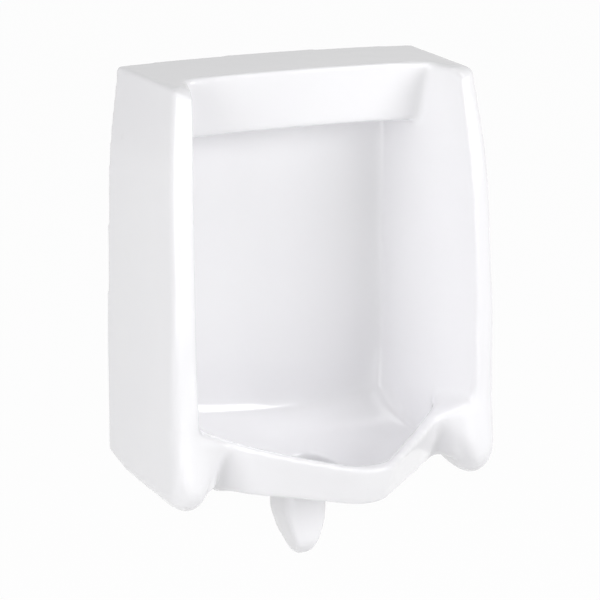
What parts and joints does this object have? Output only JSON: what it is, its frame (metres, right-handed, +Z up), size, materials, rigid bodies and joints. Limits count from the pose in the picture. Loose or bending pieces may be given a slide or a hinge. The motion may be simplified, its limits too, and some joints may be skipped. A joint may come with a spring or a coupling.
{
  "type": "wall hung urinal",
  "caption": "Wall hung washout urinal in white vitreous china: privacy wings, pointed lip, integral trap, rear inlet spud, removable strainer, outlet flange and hangers.",
  "frame": {"origin": "on the wall plane, in the middle of the four wall hanger screws", "axes": "+Z up, +Y into the wall, +X to the right as the user faces the urinal"},
  "size_m": [0.4792, 0.3365, 0.677],
  "materials": {
    "china": "gloss",
    "strainer_steel": "brushed",
    "brass": "satin",
    "rubber": "matte",
    "zinc_steel": "satin"
  },
  "bodies": {
    "root": {"china_wing_left": "china", "china_wing_right": "china", "china_header": "china", "china_back": "china", "china_bowl": "china", "china_trap": "china", "strainer_bridge": "strainer_steel", "inlet_spud": "brass", "inlet_gasket": "rubber", "inlet_friction_ring": "brass", "inlet_locknut": "brass", "outlet_gasket": "rubber", "outlet_flange": "brass", "outlet_bolt_left": "brass", "outlet_washer_left": "brass", "outlet_nut_left": "brass", "outlet_bolt_right": "brass", "outlet_washer_right": "brass", "outlet_nut_right": "brass", "wall_hanger_left": "zinc_steel", "wall_hanger_right": "zinc_steel"},
    "strainer": {"strainer": "strainer_steel"},
    "strainer_screw": {"strainer_screw": "strainer_steel"}
  },
  "joints": [
    {"name": "strainer_lift", "type": "slide", "parent": "root", "child": "strainer", "axis": [0, 0, 1], "range_m": [0, 0.08]},
    {"name": "strainer_screw_turn", "type": "hinge", "parent": "strainer", "child": "strainer_screw", "pos_m": [0, -0.139, -0.474], "axis": [0, 0, 1], "continuous": true}
  ]
}
